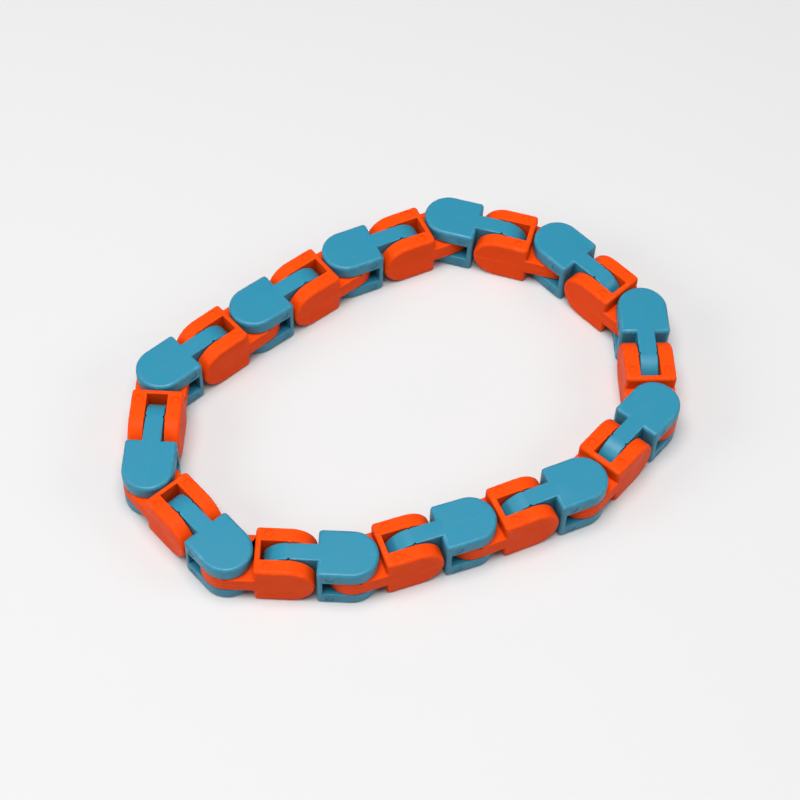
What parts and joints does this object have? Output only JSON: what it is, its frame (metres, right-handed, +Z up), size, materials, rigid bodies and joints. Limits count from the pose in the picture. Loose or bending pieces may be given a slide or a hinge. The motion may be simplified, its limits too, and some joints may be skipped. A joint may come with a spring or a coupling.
{
  "type": "track puzzle",
  "caption": "Closed ring of moulded plastic links in two colours, each with a clevis and a crosswise tongue, that bends and twists link by link.",
  "frame": {"origin": "middle of the ring's box, on the plane the ring lies on", "axes": "+Z up from the plane the ring lies on, +X along the ring's long way"},
  "size_m": [0.1366, 0.0936, 0.012],
  "materials": {
    "blue_plastic": "satin moulded",
    "orange_plastic": "satin moulded"
  },
  "bodies": {
    "blue_link_03": {"blue_link_03": "blue_plastic"},
    "orange_link_03": {"orange_link_03": "orange_plastic"},
    "blue_link_04": {"blue_link_04": "blue_plastic"},
    "orange_link_04": {"orange_link_04": "orange_plastic"},
    "blue_link_05": {"blue_link_05": "blue_plastic"},
    "orange_link_05": {"orange_link_05": "orange_plastic"},
    "blue_link_06": {"blue_link_06": "blue_plastic"},
    "orange_link_06": {"orange_link_06": "orange_plastic"},
    "blue_link_07": {"blue_link_07": "blue_plastic"},
    "orange_link_07": {"orange_link_07": "orange_plastic"},
    "blue_link_08": {"blue_link_08": "blue_plastic"},
    "orange_link_08": {"orange_link_08": "orange_plastic"},
    "blue_link_09": {"blue_link_09": "blue_plastic"},
    "orange_link_09": {"orange_link_09": "orange_plastic"},
    "blue_link_10": {"blue_link_10": "blue_plastic"},
    "orange_link_10": {"orange_link_10": "orange_plastic"},
    "blue_link_11": {"blue_link_11": "blue_plastic"},
    "orange_link_11": {"orange_link_11": "orange_plastic"},
    "blue_link_12": {"blue_link_12": "blue_plastic"},
    "orange_link_12": {"orange_link_12": "orange_plastic"},
    "blue_link_01": {"blue_link_01": "blue_plastic"},
    "orange_link_01": {"orange_link_01": "orange_plastic"},
    "blue_link_02": {"blue_link_02": "blue_plastic"},
    "orange_link_02": {"orange_link_02": "orange_plastic"}
  },
  "joints": [
    {"name": "tilt_03", "type": "hinge", "parent": "blue_link_03", "child": "orange_link_03", "pos_m": [0.05697, -0.01616, 0.006], "axis": [-0.9239, 0.3827, 0], "range_deg": [-90, 90]},
    {"name": "bend_04", "type": "hinge", "parent": "orange_link_03", "child": "blue_link_04", "pos_m": [0.05165, -0.029, 0.006], "axis": [0, 0, 1], "range_deg": [0, 132.5]},
    {"name": "tilt_04", "type": "hinge", "parent": "blue_link_04", "child": "orange_link_04", "pos_m": [0.03905, -0.03488, 0.006], "axis": [0.4226, -0.9063, 0], "range_deg": [-90, 90]},
    {"name": "bend_05", "type": "hinge", "parent": "orange_link_04", "child": "blue_link_05", "pos_m": [0.02646, -0.04075, 0.006], "axis": [0, 0, -1], "range_deg": [-116, 0]},
    {"name": "tilt_05", "type": "hinge", "parent": "blue_link_05", "child": "orange_link_05", "pos_m": [0.01256, -0.04051, 0.006], "axis": [0.0175, 0.9998, 0], "range_deg": [-90, 90]},
    {"name": "bend_06", "type": "hinge", "parent": "orange_link_05", "child": "blue_link_06", "pos_m": [-0.00134, -0.04027, 0.006], "axis": [0, 0, 1], "range_deg": [0, 94]},
    {"name": "tilt_06", "type": "hinge", "parent": "blue_link_06", "child": "orange_link_06", "pos_m": [-0.01519, -0.03906, 0.006], "axis": [-0.0872, -0.9962, 0], "range_deg": [-90, 90]},
    {"name": "bend_07", "type": "hinge", "parent": "orange_link_06", "child": "blue_link_07", "pos_m": [-0.02903, -0.03785, 0.006], "axis": [0, 0, -1], "range_deg": [-111.5, 0]},
    {"name": "tilt_07", "type": "hinge", "parent": "blue_link_07", "child": "orange_link_07", "pos_m": [-0.04147, -0.03164, 0.006], "axis": [0.4462, 0.8949, 0], "range_deg": [-90, 90]},
    {"name": "bend_08", "type": "hinge", "parent": "orange_link_07", "child": "blue_link_08", "pos_m": [-0.05391, -0.02544, 0.006], "axis": [0, 0, 1], "range_deg": [0, 136]},
    {"name": "tilt_08", "type": "hinge", "parent": "blue_link_08", "child": "orange_link_08", "pos_m": [-0.05809, -0.01218, 0.006], "axis": [-0.9537, -0.3007, 0], "range_deg": [-90, 90]},
    {"name": "bend_09", "type": "hinge", "parent": "orange_link_08", "child": "blue_link_09", "pos_m": [-0.06227, 0.00107, 0.006], "axis": [0, 0, -1], "range_deg": [-134.5, 0]},
    {"name": "tilt_09", "type": "hinge", "parent": "blue_link_09", "child": "orange_link_09", "pos_m": [-0.05596, 0.01346, 0.006], "axis": [0.891, -0.454, 0], "range_deg": [-90, 90]},
    {"name": "bend_10", "type": "hinge", "parent": "orange_link_09", "child": "blue_link_10", "pos_m": [-0.04965, 0.02584, 0.006], "axis": [0, 0, 1], "range_deg": [0, 136]},
    {"name": "tilt_10", "type": "hinge", "parent": "blue_link_10", "child": "orange_link_10", "pos_m": [-0.03636, 0.02991, 0.006], "axis": [-0.2924, 0.9563, 0], "range_deg": [-90, 90]},
    {"name": "bend_11", "type": "hinge", "parent": "orange_link_10", "child": "blue_link_11", "pos_m": [-0.02307, 0.03397, 0.006], "axis": [0, 0, -1], "range_deg": [-93.1, 0]},
    {"name": "tilt_11", "type": "hinge", "parent": "blue_link_11", "child": "orange_link_11", "pos_m": [-0.00958, 0.03732, 0.006], "axis": [0.241, -0.9705, 0], "range_deg": [-90, 90]},
    {"name": "bend_12", "type": "hinge", "parent": "orange_link_11", "child": "blue_link_12", "pos_m": [0.00391, 0.04067, 0.006], "axis": [0, 0, 1], "range_deg": [0, 103.8]},
    {"name": "tilt_12", "type": "hinge", "parent": "blue_link_12", "child": "orange_link_12", "pos_m": [0.01781, 0.04071, 0.006], "axis": [-0.0031, 1, 0], "range_deg": [-90, 90]},
    {"name": "bend_01", "type": "hinge", "parent": "orange_link_12", "child": "blue_link_01", "pos_m": [0.03171, 0.04075, 0.006], "axis": [0, 0, -1], "range_deg": [-130.2, 0]},
    {"name": "tilt_01", "type": "hinge", "parent": "blue_link_01", "child": "orange_link_01", "pos_m": [0.04236, 0.03182, 0.006], "axis": [-0.6428, -0.766, 0], "range_deg": [-90, 90]},
    {"name": "bend_02", "type": "hinge", "parent": "orange_link_01", "child": "blue_link_02", "pos_m": [0.05301, 0.02288, 0.006], "axis": [0, 0, 1], "range_deg": [0, 120.5]},
    {"name": "tilt_02", "type": "hinge", "parent": "blue_link_02", "child": "orange_link_02", "pos_m": [0.05765, 0.00978, 0.006], "axis": [0.9426, 0.3338, 0], "range_deg": [-90, 90]}
  ]
}
